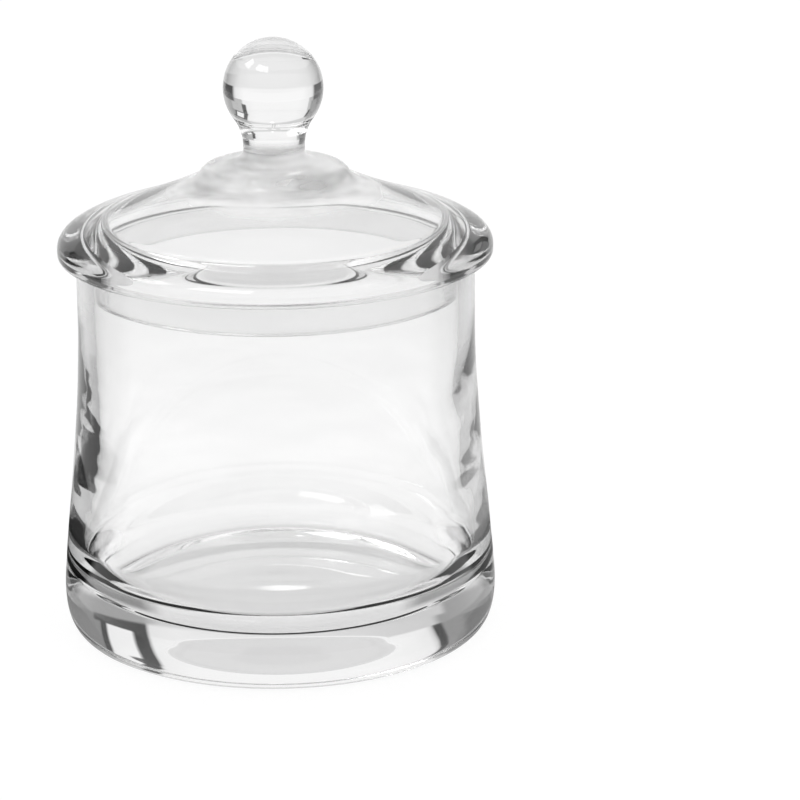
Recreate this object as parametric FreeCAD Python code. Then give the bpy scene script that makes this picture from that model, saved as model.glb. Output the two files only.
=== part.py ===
import FreeCAD, Part
import math
import os

# Clear acrylic jar with a domed lid that rests loose in its mouth, in millimetres.
# The jar stands on Z = 0 and its axis is +Z. Both pieces are bodies of revolution.

# Jar, outside
base_d = 100.0            # widest diameter, low on the body
base_widest_z = 9.9       # height of the widest level
heel_w = 3.5              # radial width of the rounded heel outside the flat foot
neck_d = 90.5             # outside diameter of the straight neck
neck_h = 14.0             # length of the straight neck under the mouth
jar_h = 88.0              # height of the mouth
mouth_round = 1.0         # outer edge of the mouth

# Jar, inside
neck_wall = 3.8           # wall at the neck
body_wall = 5.3           # wall at the level where the floor's round ends
floor_t = 9.0             # thickness of the floor on the axis
floor_round = 13.0        # round between floor and wall
floor_dish = 0.5          # height that the floor rises from the axis to its round
mouth_inner_round = 0.6   # inner edge of the mouth

# Lid
plug_clearance = 0.35     # gap between the plug and the bore of the neck
plug_depth = 8.0          # reach of the plug below the mouth
plug_wall = 2.8           # thickness of the ring-shaped plug
plug_round = 0.8          # lower edges of the plug
rim_overhang = 4.15       # reach of the rim past the neck
rim_lower_round = 1.0     # lower outer edge of the rim
rim_side_h = 1.9          # height where the rim starts to curve inwards
rim_band = 9.2            # radial width of the rounded rim
rim_rise = 8.4            # height of the inner end of the rounded rim
dome_rise = 16.3          # height of the inner end of the dome
dome_wall = 2.5           # upright thickness of the dome over the hollow
hollow_corner = 1.4       # round where the plug's wall meets the dome
boss_d = 34.4             # raised disc that carries the knob
boss_h = 4.0              # height of the disc's upper edge over the dome
boss_edge = 2.3           # radial width of the disc's rounded edge
boss_flare = 3.1          # radial width of the hollow round between the disc and the dome
boss_crown = 1.0          # height that the disc's top rises to the neck's root
crown_wall = 3.3          # thickness of the disc over the hollow on the axis
neck_root = 2.4           # round between the disc and the knob's neck
knob_neck_d = 13.9        # waist under the knob
knob_neck_h = 1.0         # straight part of the waist
knob_blend = 11.0         # round between the waist and the ball
knob_d = 22.6             # ball

# Shape of the curves
heel_slope = 0.45         # rise per run where the heel leaves the foot
taper_foot = 0.125        # share of the taper that the wall stays upright over the widest level
taper_head = 0.66         # share of the taper where the wall turns upright for the neck
bore_foot = 0.05          # the same two shares for the inside, over the floor's round
bore_head = 0.38
ceiling_slope = 1.15      # slopes of the dome at its inner and outer ends, in average slopes
dome_slope = 1.2
rim_slope = 0.85
boss_edge_slope = 1.7     # fall per run of the disc half way down its edge
boss_top_slope = 0.4      # and at the outer end of its top
boss_root_slope = 0.25    # and where the round to the knob's neck begins

# Derived radii and levels
base_r = base_d / 2
foot_r = base_r - heel_w
neck_r = neck_d / 2
bore_r = neck_r - neck_wall
body_bore_r = base_r - body_wall
plug_r = bore_r - plug_clearance
hollow_r = plug_r - plug_wall
rim_r = neck_r + rim_overhang
shoulder_r = rim_r - rim_band
boss_r = boss_d / 2
dome_end_r = boss_r + boss_flare
waist_r = knob_neck_d / 2
knob_r = knob_d / 2
neck_start_z = jar_h - neck_h
seat_z = jar_h
boss_top_z = seat_z + dome_rise + boss_h
root_z = boss_top_z + boss_crown
hollow_top_z = root_z - crown_wall


def vec(point):
    """Point (radius, height) of the half section as a vector in the XZ plane."""
    return FreeCAD.Vector(point[0], 0, point[1])


def line(a, b):
    return Part.LineSegment(vec(a), vec(b)).toShape()


def blend(a, a_dir, b, b_dir):
    """Cubic from a to b that leaves a along a_dir and arrives at b along b_dir."""
    pull = math.dist(a, b) / 3
    p = [a[i] + a_dir[i] * pull / math.hypot(*a_dir) for i in (0, 1)]
    q = [b[i] - b_dir[i] * pull / math.hypot(*b_dir) for i in (0, 1)]
    curve = Part.BezierCurve()
    curve.setPoles([vec(a), vec(p), vec(q), vec(b)])
    return curve.toShape()


def arc(centre, radius, start_deg, end_deg):
    """Arc of the half section, from one angle to the other over the angle between."""
    points = []
    for deg in (start_deg, (start_deg + end_deg) / 2, end_deg):
        a = math.radians(deg)
        points.append(vec((centre[0] + radius * math.cos(a), centre[1] + radius * math.sin(a))))
    return Part.Arc(*points).toShape()


def chain(nodes):
    """Blends through a list of (point, direction) pairs."""
    return [blend(*a, *b) for a, b in zip(nodes, nodes[1:])]


def revolve(edges):
    """Solid from a closed half section turned about the Z axis."""
    face = Part.Face(Part.Wire(edges))
    return face.revolve(FreeCAD.Vector(0, 0, 0), FreeCAD.Vector(0, 0, 1), 360)


def make_jar():
    """Tapered thick-walled body with a rounded heel, a thick floor and a straight neck."""
    taper_h = neck_start_z - base_widest_z
    round_top_z = floor_t + floor_dish + floor_round
    inner_h = neck_start_z - round_top_z
    floor_r = body_bore_r - floor_round
    edges = [line((0, 0), (foot_r, 0))]
    edges += chain([
        ((foot_r, 0), (1, heel_slope)),
        ((base_r, base_widest_z), (0, 1)),
    ])
    outer = Part.BezierCurve()
    outer.setPoles([
        vec((base_r, base_widest_z)),
        vec((base_r, base_widest_z + taper_foot * taper_h)),
        vec((neck_r, base_widest_z + taper_head * taper_h)),
        vec((neck_r, neck_start_z)),
    ])
    edges.append(outer.toShape())
    edges.append(line((neck_r, neck_start_z), (neck_r, jar_h - mouth_round)))
    edges.append(arc((neck_r - mouth_round, jar_h - mouth_round), mouth_round, 0, 90))
    edges.append(line((neck_r - mouth_round, jar_h), (bore_r + mouth_inner_round, jar_h)))
    edges.append(arc((bore_r + mouth_inner_round, jar_h - mouth_inner_round),
                     mouth_inner_round, 90, 180))
    edges.append(line((bore_r, jar_h - mouth_inner_round), (bore_r, neck_start_z)))
    inner = Part.BezierCurve()
    inner.setPoles([
        vec((bore_r, neck_start_z)),
        vec((bore_r, neck_start_z - (1 - bore_head) * inner_h)),
        vec((body_bore_r, round_top_z + bore_foot * inner_h)),
        vec((body_bore_r, round_top_z)),
    ])
    edges.append(inner.toShape())
    edges.append(arc((floor_r, round_top_z), floor_round, 0, -90))
    edges += chain([
        ((floor_r, floor_t + floor_dish), (-1, 0)),
        ((0, floor_t), (-1, 0)),
    ])
    edges.append(line((0, floor_t), (0, 0)))
    return revolve(edges)


def make_lid():
    """Hollow dome with a rounded rim on the mouth, a ring-shaped plug and a ball knob."""
    plug_z = seat_z - plug_depth
    shoulder = (shoulder_r, seat_z + rim_rise)
    dome_end = (dome_end_r, seat_z + dome_rise)
    fall = (dome_rise - rim_rise) / (shoulder_r - dome_end_r)
    corner_z = seat_z + rim_rise + fall * (shoulder_r - hollow_r) - dome_wall - hollow_corner

    # under the dome, down the inside of the plug, and out under the rim
    edges = chain([
        ((0, hollow_top_z), (1, 0)),
        ((dome_end_r, seat_z + dome_rise - dome_wall), (1, -ceiling_slope * fall)),
        ((hollow_r - hollow_corner, corner_z + hollow_corner), (1, -fall)),
        ((hollow_r, corner_z), (0, -1)),
    ])
    edges.append(line((hollow_r, corner_z), (hollow_r, plug_z + plug_round)))
    edges.append(arc((hollow_r + plug_round, plug_z + plug_round), plug_round, 180, 270))
    edges.append(line((hollow_r + plug_round, plug_z), (plug_r - plug_round, plug_z)))
    edges.append(arc((plug_r - plug_round, plug_z + plug_round), plug_round, -90, 0))
    edges.append(line((plug_r, plug_z + plug_round), (plug_r, seat_z)))
    edges.append(line((plug_r, seat_z), (rim_r - rim_lower_round, seat_z)))
    edges.append(arc((rim_r - rim_lower_round, seat_z + rim_lower_round), rim_lower_round, -90, 0))
    edges.append(line((rim_r, seat_z + rim_lower_round), (rim_r, seat_z + rim_side_h)))

    # over the rim, up the dome and over the raised disc to the waist of the knob
    waist_z = root_z + neck_root
    edges += chain([
        ((rim_r, seat_z + rim_side_h), (0, 1)),
        (shoulder, (-1, rim_slope * fall)),
        (dome_end, (-1, dome_slope * fall)),
        ((boss_r, boss_top_z - boss_h / 2), (-1, boss_edge_slope)),
        ((boss_r - boss_edge, boss_top_z), (-1, boss_top_slope)),
        ((waist_r + neck_root, root_z), (-1, boss_root_slope)),
        ((waist_r, waist_z), (0, 1)),
    ])

    # hollow round from the waist into the ball, and the ball to its top
    reach = knob_r + knob_blend
    blend_r = waist_r + knob_blend
    blend_z = waist_z + knob_neck_h
    ball_z = blend_z + math.sqrt(reach ** 2 - blend_r ** 2)
    lean = math.degrees(math.atan2(ball_z - blend_z, blend_r))
    edges.append(line((waist_r, waist_z), (waist_r, blend_z)))
    edges.append(arc((blend_r, blend_z), knob_blend, 180, 180 - lean))
    edges.append(arc((0, ball_z), knob_r, -lean, 90))
    edges.append(line((0, ball_z + knob_r), (0, hollow_top_z)))
    return revolve(edges)


os.makedirs("parts", exist_ok=True)
for name, shape in (("jar", make_jar()), ("lid", make_lid())):
    print(name, shape.ShapeType, shape.isValid(), round(shape.Volume, 1), shape.BoundBox)
    shape.exportStep(f"parts/{name}.step")
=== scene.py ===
import math

import bpy
import numpy as np
from mathutils import Matrix, Vector


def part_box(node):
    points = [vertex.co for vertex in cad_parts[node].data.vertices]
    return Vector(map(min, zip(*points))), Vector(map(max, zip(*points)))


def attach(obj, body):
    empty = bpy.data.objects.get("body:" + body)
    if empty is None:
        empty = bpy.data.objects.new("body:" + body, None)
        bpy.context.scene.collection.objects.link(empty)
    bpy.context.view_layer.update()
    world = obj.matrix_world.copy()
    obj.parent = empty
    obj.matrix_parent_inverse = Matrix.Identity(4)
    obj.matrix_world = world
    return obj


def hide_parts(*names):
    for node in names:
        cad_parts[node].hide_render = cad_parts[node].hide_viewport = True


# A clear acrylic table jar with a domed lid that rests loose in its mouth. Sizes are in millimetres
# up to where a surface is built, and start from the boxes of the two CAD nodes.
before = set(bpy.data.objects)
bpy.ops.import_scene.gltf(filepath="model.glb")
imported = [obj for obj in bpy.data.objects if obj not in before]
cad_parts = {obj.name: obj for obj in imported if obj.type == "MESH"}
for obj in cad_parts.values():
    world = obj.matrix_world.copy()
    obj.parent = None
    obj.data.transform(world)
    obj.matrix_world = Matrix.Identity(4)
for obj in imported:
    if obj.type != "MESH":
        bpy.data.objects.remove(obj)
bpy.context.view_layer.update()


# Jar: a thick-walled body, moulded in one piece from clear acrylic. The wall tapers from a
# rounded heel up to a straight neck, and the floor is thick, so that its edges catch the light.
mm = 0.001
jar_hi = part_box("jar")[1]
base_r = jar_hi.x / mm
mouth_z = jar_hi.z / mm
heel_w, heel_rise, widest_z = 3.5, 0.45, 9.9
neck_step, neck_h = 4.75, 14.0
neck_wall, body_wall = 3.8, 5.3
neck_r, neck_z = base_r - neck_step, mouth_z - neck_h
bore_r, body_bore_r = neck_r - neck_wall, base_r - body_wall
mouth_round, mouth_inner_round = 1.0, 0.6
floor_z, floor_dish, floor_round = 9.0, 0.5, 13.0


def straight(a, b, count):
    """Line a + (b - a) t of a half section, as an array of (radius, height)."""
    t = np.linspace(0, 1, count)[:, None]
    return np.array(a) * (1 - t) + np.array(b) * t


def cubic(a, b, c, d, count):
    """Bezier (1-t)^3 a + 3(1-t)^2 t b + 3(1-t) t^2 c + t^3 d of a half section."""
    t = np.linspace(0, 1, count)[:, None]
    a, b, c, d = (np.array(p, float) for p in (a, b, c, d))
    return (1 - t) ** 3 * a + 3 * (1 - t) ** 2 * t * b + 3 * (1 - t) * t ** 2 * c + t ** 3 * d


def blend(a, a_dir, b, b_dir, count):
    """Cubic from a to b, leaving along a_dir and arriving along b_dir, pulled by a third of the gap."""
    a, b, a_dir, b_dir = (np.array(p, float) for p in (a, b, a_dir, b_dir))
    pull = np.linalg.norm(b - a) / 3
    leave = a + a_dir * pull / np.linalg.norm(a_dir)
    arrive = b - b_dir * pull / np.linalg.norm(b_dir)
    return cubic(a, leave, arrive, b, count)


def arc(centre, radius, start, end, count):
    """Circle centre + radius (cos a, sin a), with a from start to end in degrees."""
    a = np.radians(np.linspace(start, end, count))
    return np.stack([centre[0] + radius * np.cos(a), centre[1] + radius * np.sin(a)], 1)


def turned(name, section, around, drift=None):
    """Surface (r cos u, r sin u, z) of a half section (r, z) carried once round the axis by u, in a
    number of steps. The section's first and last points lie on the axis and become the two poles.
    drift(r, z, u) moves each point inwards by that many millimetres."""
    runs = np.vstack(section)
    keep = np.ones(len(runs), bool)
    same_point = 1e-6
    keep[1:] = np.linalg.norm(np.diff(runs, axis=0), axis=1) > same_point
    runs = runs[keep]
    ring = runs[1:-1]
    rows = len(ring)
    u = np.linspace(0, 2 * np.pi, around, endpoint=False)
    r = np.repeat(ring[:, :1], around, 1)
    z = np.repeat(ring[:, 1:], around, 1)
    if drift is not None:
        r = r - drift(r, z, u[None, :])
    grid = np.stack([r * np.cos(u), r * np.sin(u), z], 2).reshape(-1, 3)
    poles = np.array([[0, 0, runs[0, 1]], [0, 0, runs[-1, 1]]])
    points = np.vstack([grid, poles]) * mm
    i = np.arange(rows - 1)[:, None] * around
    j = np.arange(around)[None, :]
    k = (j + 1) % around
    quads = np.stack([i + j, i + k, i + around + k, i + around + j], 2).reshape(-1, 4)
    first, last = len(grid), len(grid) + 1
    j, k = j[0], k[0]
    top = (rows - 1) * around
    fans = np.vstack([
        np.stack([k, j, np.full(around, first)], 1),
        np.stack([top + j, top + k, np.full(around, last)], 1),
    ])
    loops = np.concatenate([quads.ravel(), fans.ravel()])
    starts = np.concatenate([
        np.arange(len(quads)) * 4,
        len(quads) * 4 + np.arange(len(fans)) * 3,
    ])
    mesh = bpy.data.meshes.new(name)
    mesh.vertices.add(len(points))
    mesh.vertices.foreach_set("co", points.ravel())
    mesh.loops.add(len(loops))
    mesh.loops.foreach_set("vertex_index", loops.astype(np.int32))
    mesh.polygons.add(len(starts))
    mesh.polygons.foreach_set("loop_start", starts.astype(np.int32))
    mesh.polygons.foreach_set("use_smooth", np.ones(len(starts), bool))
    mesh.update()
    mesh.validate()
    piece = bpy.data.objects.new(name, mesh)
    bpy.context.scene.collection.objects.link(piece)
    return piece


class Link:
    """A socket in a node tree: arithmetic on it adds Math nodes, and node() adds any other node.
    A ramp's stops are settings of its node, given as (place, level) from first to last."""

    def __init__(self, tree, socket=None):
        self.tree, self.socket = tree, socket

    def node(self, kind, settings, inputs, output=0):
        """Adds a node of a type, with its settings first and then its inputs' values or links."""
        made = self.tree.nodes.new("ShaderNode" + kind)
        for name, value in settings.items():
            if name == "stops":
                bar = made.color_ramp.elements
                for place, level in value[1:-1]:
                    bar.new(place).color = (level, level, level, 1)
                for end, (place, level) in ((0, value[0]), (-1, value[-1])):
                    bar[end].position, bar[end].color = place, (level, level, level, 1)
            else:
                setattr(made, name, value)
        for name, value in inputs.items():
            if isinstance(value, Link):
                self.tree.links.new(value.socket, made.inputs[name])
            else:
                made.inputs[name].default_value = value
        return Link(self.tree, made.outputs[output]) if made.outputs else None

    def math(self, operation, *terms):
        return self.node("Math", {"operation": operation}, dict(enumerate(terms)))

    def __add__(self, other):
        return self.math("ADD", self, other)

    def __radd__(self, other):
        return self.math("ADD", other, self)

    def __sub__(self, other):
        return self.math("SUBTRACT", self, other)

    def __rsub__(self, other):
        return self.math("SUBTRACT", other, self)

    def __mul__(self, other):
        return self.math("MULTIPLY", self, other)

    def __rmul__(self, other):
        return self.math("MULTIPLY", other, self)

    def ramp(self, low, high):
        """0 below low, 1 above high, and a smooth step between them."""
        return self.node("MapRange", {"interpolation_type": "SMOOTHSTEP"},
                         {"Value": self, "From Min": low, "From Max": high})

    def follow(self, scale, *stops):
        """Straight runs through stops of (place, level), with the places counted in a scale."""
        low, high = stops[0][0], stops[-1][0]
        share = self.node("MapRange", {}, {
            "Value": self, "From Min": low * scale, "From Max": high * scale})
        spaced = [((place - low) / (high - low), level) for place, level in stops]
        return share.node("ValToRGB", {"stops": spaced}, {"Fac": share}, "Color")


def acrylic(name, dull, bright, haze, ripple, ash, veils, painted_shade):
    """Clear acrylic: a dielectric with a faint grey tone from dull to bright in streaks that run round
    the axis, haze and hairline scratches in its roughness, and a moulded ripple, in metres, in its
    bump. A thin diffuse veil of the grey ash carries the scratches' wear, and more of it towards +X is
    painted light that makes that side lighter. The last two arguments give the veil's share and a
    painted shade that darkens the tone, by height, as stops in millimetres."""
    index = 1.49
    scratch_rough, scratch_veil, painted_right_light = 0.006, 0.004, 0.009
    least_bright, streak_bright = 0.6, 0.4
    material = bpy.data.materials.new(name)
    material.use_nodes = True
    tree = material.node_tree
    shader = tree.nodes["Principled BSDF"]
    shader.inputs["Transmission Weight"].default_value = 1.0
    shader.inputs["IOR"].default_value = index
    at = Link(tree).node("TexCoord", {}, {}, "Object")
    across = at.node("SeparateXYZ", {}, {0: at}, "X")
    up = at.node("SeparateXYZ", {}, {0: at}, "Z")
    flat = at.node("VectorMath", {"operation": "MULTIPLY"}, {0: at, 1: (1.0, 1.0, 4.0)})
    streak = at.node("TexNoise", {}, {"Vector": flat, "Scale": 45.0, "Detail": 2.0}, "Fac")
    grain = at.node("TexNoise", {}, {"Vector": at, "Scale": 1400.0, "Detail": 1.0}, "Fac")
    swell = at.node("TexNoise", {}, {"Vector": flat, "Scale": 24.0, "Detail": 0.0}, "Fac")
    scratch = grain.ramp(0.62, 0.75)
    patchy = streak.ramp(0.35, 0.65)
    # Painted shade: the tone is pulled towards dull by height, by the stops of the last argument.
    tone = at.node("Mix", {"data_type": "RGBA"}, {
        "Factor": patchy * streak_bright + least_bright - up.follow(mm, *painted_shade),
        "A": (dull, dull, dull, 1), "B": (bright, bright, bright, 1)}, "Result")
    tree.links.new(tone.socket, shader.inputs["Base Color"])
    rough = patchy * haze + scratch * scratch_rough
    tree.links.new(rough.socket, shader.inputs["Roughness"])
    bump = swell.node("Bump", {}, {"Height": swell * ripple, "Strength": 1.0, "Distance": 1.0})
    tree.links.new(bump.socket, shader.inputs["Normal"])
    # Painted light: the veil grows towards +X and makes that side lighter; its share from the scratches
    # is wear.
    veil = across.ramp(0.005, 0.042) * painted_right_light + scratch * scratch_veil
    veil = veil + up.follow(mm, *veils) * (patchy + 0.5)
    wear_and_painted_light = veil.node("BsdfDiffuse", {}, {"Color": (ash, ash, ash, 1)})
    clear = Link(tree, shader.outputs["BSDF"])
    surface = veil.node("MixShader", {}, {0: veil, 1: clear, 2: wear_and_painted_light})
    tree.links.new(surface.socket, tree.nodes["Material Output"].inputs["Surface"])
    return material


def wall_drift(r, z, u):
    """Uneven wall of a moulding, in millimetres inwards: long waves sin(2u + az) + sin(5u - bz) that
    wind round both flanks, and shorter ones sin(9u + cz) sin(4u - dz) on them. Both fade out towards
    the neck, the floor, the front and the back, and the outer face moves a third as far."""
    long = np.sin(2 * u + 0.17 * z) + np.sin(5 * u - 0.29 * z + 1.3)
    short = np.sin(9 * u + 0.74 * z + 4.0) * np.sin(4 * u - 0.45 * z + 2.0)
    long_share, short_share, outer_share = 0.10, 0.035, 0.35
    mid_wall_r = np.interp(z, (10, 40, neck_z), (47.5, 46, 43.3))
    inside = r < mid_wall_r
    first_z, last_z = np.where(inside, 25, 14), neck_z
    foot_fade, neck_fade = 8, 12
    from_foot = np.clip((z - first_z) / foot_fade, 0, 1)
    to_neck = np.clip((last_z - z) / neck_fade, 0, 1)
    flank = np.clip((np.abs(np.cos(u)) - 0.75) / 0.18, 0, 1)
    depth = long_share * (long + 2) + short_share * (short + 1)
    return flank * from_foot * to_neck * np.where(inside, 1.0, outer_share) * depth


taper_h = neck_z - widest_z
round_top_z = floor_z + floor_dish + floor_round
inner_h = neck_z - round_top_z
floor_r = body_bore_r - floor_round
jar_section = [
    straight((0, 0), (base_r - heel_w, 0), 14),
    blend((base_r - heel_w, 0), (1, heel_rise), (base_r, widest_z), (0, 1), 22),
    cubic((base_r, widest_z), (base_r, widest_z + 0.125 * taper_h),
          (neck_r, widest_z + 0.66 * taper_h), (neck_r, neck_z), 46),
    straight((neck_r, neck_z), (neck_r, mouth_z - mouth_round), 10),
    arc((neck_r - mouth_round, mouth_z - mouth_round), mouth_round, 0, 90, 10),
    straight((neck_r - mouth_round, mouth_z), (bore_r + mouth_inner_round, mouth_z), 4),
    arc((bore_r + mouth_inner_round, mouth_z - mouth_inner_round), mouth_inner_round, 90, 180, 8),
    straight((bore_r, mouth_z - mouth_inner_round), (bore_r, neck_z), 10),
    cubic((bore_r, neck_z), (bore_r, neck_z - 0.62 * inner_h),
          (body_bore_r, round_top_z + 0.05 * inner_h), (body_bore_r, round_top_z), 44),
    arc((floor_r, round_top_z), floor_round, 0, -90, 26),
    blend((floor_r, floor_z + floor_dish), (-1, 0), (0, floor_z), (-1, 0), 26),
]
steps_round = 320
jar_piece = turned("jar_body", jar_section, steps_round, wall_drift)
# Painted shade: the neck, under the lid, is toned darker from 56 mm up and has a little more veil.
jar_piece.data.materials.append(acrylic(
    "acrylic_jar", dull=0.940, bright=0.998, haze=0.004, ripple=0.000006, ash=0.85,
    veils=((0, 0.0005), (56, 0.0005), (74, 0.020), (90, 0.020)),
    painted_shade=((0, 0), (56, 0), (74, 0.85), (90, 0.85))))
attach(jar_piece, "root")
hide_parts("jar")


# Lid: a hollow dome moulded in one piece with its rounded rim, the ring-shaped plug that drops into
# the neck and the ball knob. It only rests on the mouth, with a hair of air between the two.
lid_lo, lid_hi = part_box("lid")
seat_z, seat_gap = mouth_z, 0.04
plug_gap, plug_wall, plug_round = 0.35, 2.8, 0.8
plug_z, plug_r = lid_lo.z / mm, bore_r - plug_gap
hollow_r, hollow_corner = plug_r - plug_wall, 1.4
rim_over, rim_w, rim_rise = 4.15, 9.2, 8.4
rim_r, rim_lower_round, rim_side_h = neck_r + rim_over, 1.0, 1.9
shoulder_r = rim_r - rim_w
boss_r, boss_h, boss_edge, boss_fillet = 17.2, 4.0, 2.3, 3.1
dome_end_r, dome_rise, dome_wall = boss_r + boss_fillet, 16.3, 2.5
boss_top_z = seat_z + dome_rise + boss_h
root_rise, neck_root, knob_floor = 1.0, 2.4, 3.3
root_z = boss_top_z + root_rise
hollow_top_z = root_z - knob_floor
waist_r, waist_z, knob_blend = 6.95, root_z + neck_root, 11.0
knob_r = 11.3
fall = (dome_rise - rim_rise) / (shoulder_r - dome_end_r)
corner_z = seat_z + rim_rise + fall * (shoulder_r - hollow_r) - dome_wall - hollow_corner
waist_h = 1.0
blend_r, blend_z = waist_r + knob_blend, waist_z + waist_h
ball_z = lid_hi.z / mm - knob_r
lean = math.degrees(math.atan2(ball_z - blend_z, blend_r))
ceiling_z, ceiling_slope = seat_z + dome_rise - dome_wall, (1, -1.15 * fall)
shoulder_slope, dome_slope = (-1, 0.85 * fall), (-1, 1.2 * fall)
boss_side, boss_top, root_slope = (-1, 1.7), (-1, 0.4), (-1, 0.25)
lid_section = [
    blend((0, hollow_top_z), (1, 0), (dome_end_r, ceiling_z), ceiling_slope, 20),
    blend((dome_end_r, ceiling_z), ceiling_slope,
          (hollow_r - hollow_corner, corner_z + hollow_corner), (1, -fall), 20),
    blend((hollow_r - hollow_corner, corner_z + hollow_corner), (1, -fall),
          (hollow_r, corner_z), (0, -1), 10),
    straight((hollow_r, corner_z), (hollow_r, plug_z + plug_round), 12),
    arc((hollow_r + plug_round, plug_z + plug_round), plug_round, 180, 270, 8),
    straight((hollow_r + plug_round, plug_z), (plug_r - plug_round, plug_z), 3),
    arc((plug_r - plug_round, plug_z + plug_round), plug_round, -90, 0, 8),
    straight((plug_r, plug_z + plug_round), (plug_r, seat_z + seat_gap), 8),
    straight((plug_r, seat_z + seat_gap), (rim_r - rim_lower_round, seat_z + seat_gap), 8),
    arc((rim_r - rim_lower_round, seat_z + rim_lower_round + seat_gap), rim_lower_round, -90, 0, 9),
    straight((rim_r, seat_z + rim_lower_round + seat_gap), (rim_r, seat_z + rim_side_h), 3),
    blend((rim_r, seat_z + rim_side_h), (0, 1), (shoulder_r, seat_z + rim_rise), shoulder_slope, 34),
    blend((shoulder_r, seat_z + rim_rise), shoulder_slope,
          (dome_end_r, seat_z + dome_rise), dome_slope, 26),
    blend((dome_end_r, seat_z + dome_rise), dome_slope,
          (boss_r, boss_top_z - boss_h / 2), boss_side, 10),
    blend((boss_r, boss_top_z - boss_h / 2), boss_side, (boss_r - boss_edge, boss_top_z), boss_top, 10),
    blend((boss_r - boss_edge, boss_top_z), boss_top, (waist_r + neck_root, root_z), root_slope, 8),
    blend((waist_r + neck_root, root_z), root_slope, (waist_r, waist_z), (0, 1), 10),
    straight((waist_r, waist_z), (waist_r, blend_z), 3),
    arc((blend_r, blend_z), knob_blend, 180, 180 - lean, 12),
    arc((0, ball_z), knob_r, -lean, 90, 54),
]
lid_piece = turned("lid_shell", lid_section, steps_round)
# Painted shade: the plug, down inside the neck, is toned darker; the veil is heaviest from the boss up
# to the knob's waist.
lid_piece.data.materials.append(acrylic(
    "acrylic_lid", dull=0.930, bright=0.995, haze=0.006, ripple=0.00002, ash=0.98,
    veils=((80, 0.05), (88.5, 0.05), (89, 0.0), (96, 0.0), (98.5, 0.05), (101.5, 0.05), (103.5, 0.48),
           (111.5, 0.48), (113.5, 0.0), (140, 0.0)),
    painted_shade=((80, 0.6), (88.5, 0.6), (89, 0.0), (140, 0.0))))
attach(lid_piece, "root")
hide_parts("lid")


# Floor: a plain white sheet that runs out to the horizon. Only light that the acrylic has bent sees
# darker ground to both sides, in rings round the jar, as it would see the black flags of a studio.
deg = math.pi / 180
reach, below = 9.0, -0.0001
sheet = bpy.data.meshes.new("floor")
sheet.from_pydata([(-reach, -reach, below), (reach, -reach, below),
                   (reach, reach, below), (-reach, reach, below)], [], [(0, 1, 2, 3)])
floor = bpy.data.objects.new("floor", sheet)
bpy.context.scene.collection.objects.link(floor)
paper = bpy.data.materials.new("paper")
paper.use_nodes = True
tree = paper.node_tree
tree.nodes.clear()
ground = Link(tree).node("TexCoord", {}, {}, "Object")
x = ground.node("SeparateXYZ", {}, {0: ground}, "X")
y = ground.node("SeparateXYZ", {}, {0: ground}, "Y")
far = x.math("SQRT", x * x + y * y)
turn = x.math("ARCTAN2", x, y)
direct = Link(tree).node("LightPath", {}, {}, "Is Camera Ray")
passes = Link(tree).node("LightPath", {}, {}, "Transmission Depth")
bounced = Link(tree).node("LightPath", {}, {}, "Diffuse Depth")
bent = (1 - passes.ramp(2.5, 3.5)) * (1 - direct) * (1 - bounced.ramp(0, 1))
near = 1 - far.ramp(0.030, 0.060)
lift, contact_shade = 0.03, 0.16
level = 1.0 + (1 - direct) * (lift - near * (1 - passes.ramp(4.5, 5.5)) * contact_shade)

# Each ring is (start, feather, stops): two distances from the axis in metres, and stops of (degrees
# from straight behind, tone), with the front at both ends.
front_grey = (-180, 0.7), (-115, 0.7), (-100, 1), (-84, 1)
left_black = (-80, 0.03), (-35.5, 0.03)
grey_front = (84, 1), (100, 1), (115, 0.7), (180, 0.7)
left_grey = (-180, 1), (-90, 1), (-84, 0.6), (-58, 0.5), (-45, 0.68)
ground_tone = turn.follow(
    deg, (-180, 1), (-135, 1), (-125, 0.36), (-62, 0.36), (-52, 1), (-42, 1), (-38, 0.74), (38, 0.74),
    (42, 1), (55, 1), (65, 0.45), (125, 0.45), (135, 1), (180, 1))
for start, feather, stops in (
        (0.070, 0.004, (*front_grey, *left_black, (-34, 0.74), (34, 0.74), (36.5, 0.22), (80, 0.22),
                        *grey_front)),
        (0.150, 0.008, (*front_grey, *left_black, (-34, 0.78), (34, 0.78), (36.5, 0.64), (80, 0.64),
                        *grey_front)),
        (0.172, 0.006, (*left_grey, (-34, 0.8), (-20, 0.82), (18, 0.82), (30, 0.8), (42, 0.74),
                        (56, 0.66), (80, 0.66), (88, 1), (180, 1))),
        (0.300, 0.030, (*left_grey, (-34, 0.82), (-20, 0.86), (18, 0.86), (30, 0.82), (42, 0.65),
                        (56, 0.5), (80, 0.5), (88, 1), (180, 1))),
        (0.600, 0.080, ((-180, 1), (-84, 1), (-79, 0.13), (-43, 0.13), (-39, 0.8), (-25, 0.95),
                        (25, 0.95), (36, 0.8), (38, 0.7), (42, 0.05), (78, 0.05), (84, 1), (180, 1)))):
    ring = far.ramp(start, start + feather)
    ground_tone = ground_tone + ring * (turn.follow(deg, *stops) - ground_tone)
level = level * (1 - bent * far.ramp(0.036, 0.042) * (1 - ground_tone))
paper_tone, glow_share, seen_glow_share, seen_glow = 0.93, 0.70, 0.15, 0.05
glow = level.node("Emission", {}, {"Color": (1, 1, 1, 1), "Strength": level + direct * seen_glow})
tint = level.node("CombineXYZ", {}, dict.fromkeys("XYZ", level * paper_tone))
matt = level.node("BsdfDiffuse", {}, {"Color": tint})
share = direct * seen_glow_share + glow_share
paper_mix = level.node("MixShader", {}, {0: share, 1: matt, 2: glow})
level.node("OutputMaterial", {}, {"Surface": paper_mix})
sheet.materials.append(paper)


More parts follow.
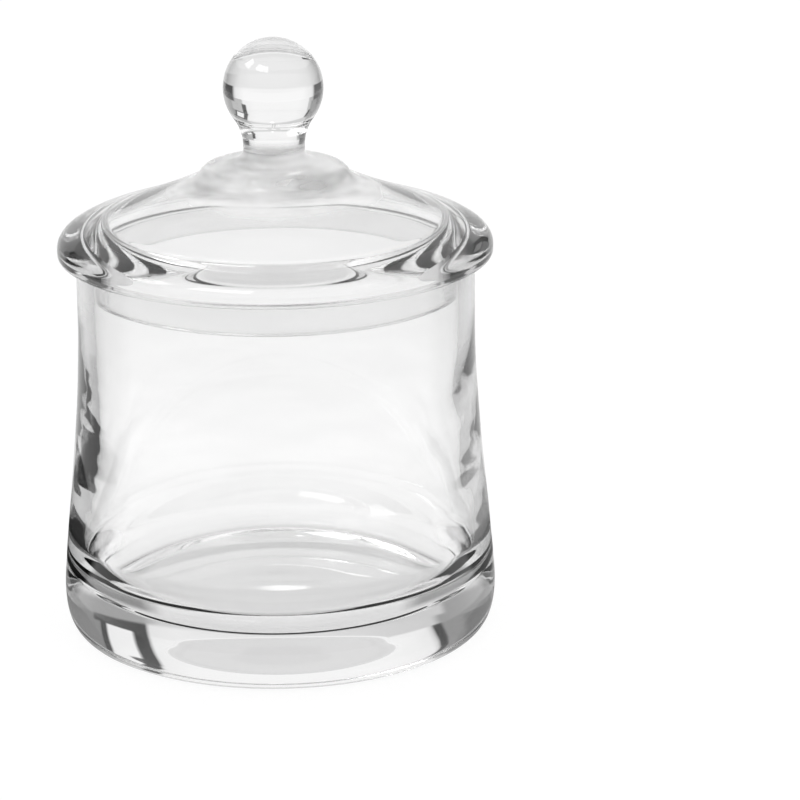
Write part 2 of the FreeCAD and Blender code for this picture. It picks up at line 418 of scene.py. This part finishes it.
# Light: a soft white room. Behind the jar stands a pale wall between two dark flags, with a black post
# and a white panel on its right. The front of the room is dim low down and brightest overhead.
world = bpy.data.worlds.new("studio")
bpy.context.scene.world = world
world.use_nodes = True
tree = world.node_tree
tree.nodes.clear()
way = Link(tree).node("TexCoord", {}, {}, "Generated")
x = way.node("SeparateXYZ", {}, {0: way}, "X")
y = way.node("SeparateXYZ", {}, {0: way}, "Y")
z = way.node("SeparateXYZ", {}, {0: way}, "Z")
turn = x.math("ARCTAN2", x, y)
side = turn.math("ABSOLUTE", turn)
rise = z.math("ARCSINE", z)
direct = Link(tree).node("LightPath", {}, {}, "Is Camera Ray")
bounced = Link(tree).node("LightPath", {}, {}, "Diffuse Depth").ramp(0, 1)
low_tone, ceiling_gain, front_gain, front_dim = 0.48, 0.22, 0.42, 0.75
room = low_tone + rise.ramp(2 * deg, 30 * deg) * ceiling_gain
room = room + side.ramp(75 * deg, 125 * deg) * rise.ramp(6 * deg, 30 * deg) * front_gain
room = room * (1 - side.ramp(135 * deg, 160 * deg) * (1 - rise.ramp(7 * deg, 16 * deg)) * front_dim)
leaning = turn - (rise - 14 * deg) * 0.5

# Each belt of the back wall is (foot, feather, turn, stops): two rises in degrees, the turn that it
# goes by, and stops of (degrees from straight behind, tone) from left to right.
left_end, right_end = ((-90, 0.55), (-84, 0.55)), ((84, 0.55), (90, 0.55))
left_flag = (-79, 0.18), (-51, 0.18), (-47, 0.27), (-39, 0.27)
left_edge = (-38.5, 0.04), (-35.5, 0.04), (-35, 0.6)
pale = (-33, 0.86), (-20, 0.93), (16, 0.93)
post = (23.5, 0.86), (24.5, 0.04), (28.5, 0.04)
wall = turn.follow(
    deg, (-90, low_tone), (-83, low_tone), (-79, 0.06), (-43, 0.06), (-40, 0.45), (-35, 0.5), *pale,
    (27, 0.86), (28.5, low_tone), (38, low_tone), (42, 0.04), (80, 0.04), (84, low_tone), (90, low_tone))
for foot, feather, round_by, stops in (
        (2.5, 1.5, turn, (
            (-90, 0.5), (-84, 0.5), (-79, 0.14), (-51, 0.14), (-47, 0.27), (-39, 0.27), (-37, 0.5),
            (-34, 0.5), *pale, *post, (29.5, low_tone), (44, low_tone), (47, 0.33), (80, 0.33),
            (84, 0.5), (90, 0.5))),
        (12.2, 0.4, leaning, (
            *left_end, *left_flag, *left_edge, *pale, *post, (29.5, 0.1), (37, 0.1), (38.5, 0.06),
            (41.2, 0.06), (42, 0.26), (80, 0.26), *right_end)),
        (13.3, 0.4, leaning, (
            *left_end, *left_flag, *left_edge, *pale, *post, (29.3, 0.92), (39, 0.92), (39.8, 0.05),
            (42.2, 0.05), (43, 0.26), (80, 0.26), *right_end)),
        (19.7, 0.4, leaning, (
            *left_end, (-79, 0.30), (-39, 0.30), (-36, 0.6), (16, 0.86), (23.5, 0.8), (24.5, 0.04),
            (46, 0.07), (47, 0.25), (80, 0.25), *right_end)),
        (21.3, 0.6, turn, (
            (-90, 0.6), (-84, 0.6), (-79, 0.30), (-39, 0.30), (-36, 0.6), (24, 0.62), (29, 0.36),
            (50, 0.28), (80, 0.26), (84, 0.6), (90, 0.6)))):
    belt = rise.ramp(foot * deg, (foot + feather) * deg)
    wall = wall + belt * (round_by.follow(deg, *stops) - wall)
behind = (1 - side.ramp(84 * deg, 90 * deg)) * (1 - rise.ramp(25 * deg, 28 * deg))
room = room + (wall - room) * behind


def zone(value, low, high, soft):
    """1 between low and high, 0 outside, with a soft edge on both sides, all of them in degrees."""
    return value.ramp((low - soft) * deg, low * deg) * (1 - value.ramp(high * deg, (high + soft) * deg))


# Each lamp is (start, end, blur, foot, top, feather, tone): a range of turns, a range of rises, the
# softness of their edges in degrees, and its strength.
for start, end, blur, foot, top, feather, tone in (
        (0, 2.5, 0.4, 19.3, 19.7, 0.2, 2.8),
        (-100, -78, 2, 40, 54, 2, 5.0),
        (-162, -122, 3, 46, 58, 2, 6.0)):
    lamp = zone(turn, start, end, blur) * zone(rise, foot, top, feather)
    room = room + (tone - room) * lamp
plain = direct.math("MAXIMUM", direct, bounced)
strength = plain + (1 - plain) * room
light = strength.node("Background", {}, {"Color": (1, 1, 1, 1), "Strength": strength})
light.node("OutputWorld", {}, {"Surface": light})
world.cycles.sampling_method = "NONE"
cycles = bpy.context.scene.cycles
cycles.max_bounces, cycles.transmission_bounces, cycles.glossy_bounces = 12, 11, 5


# Camera: a long lens, a little above the jar and looking down on it, with the jar left of centre.
camera = bpy.data.cameras.new("camera")
camera.sensor_width = 36.0
camera.lens = 158.4
camera.clip_start = 0.01
eye = Vector((0.0, -0.77281, 0.29559))
aim = Vector((0.02808, 0.0, 0.05212))
roll = math.radians(-0.269)
viewer = bpy.data.objects.new("camera", camera)
turn = (aim - eye).to_track_quat("-Z", "Y").to_matrix().to_4x4() @ Matrix.Rotation(roll, 4, "Z")
viewer.matrix_world = Matrix.Translation(eye) @ turn
bpy.context.scene.collection.objects.link(viewer)
bpy.context.scene.camera = viewer
bpy.context.scene.view_settings.view_transform = "Standard"
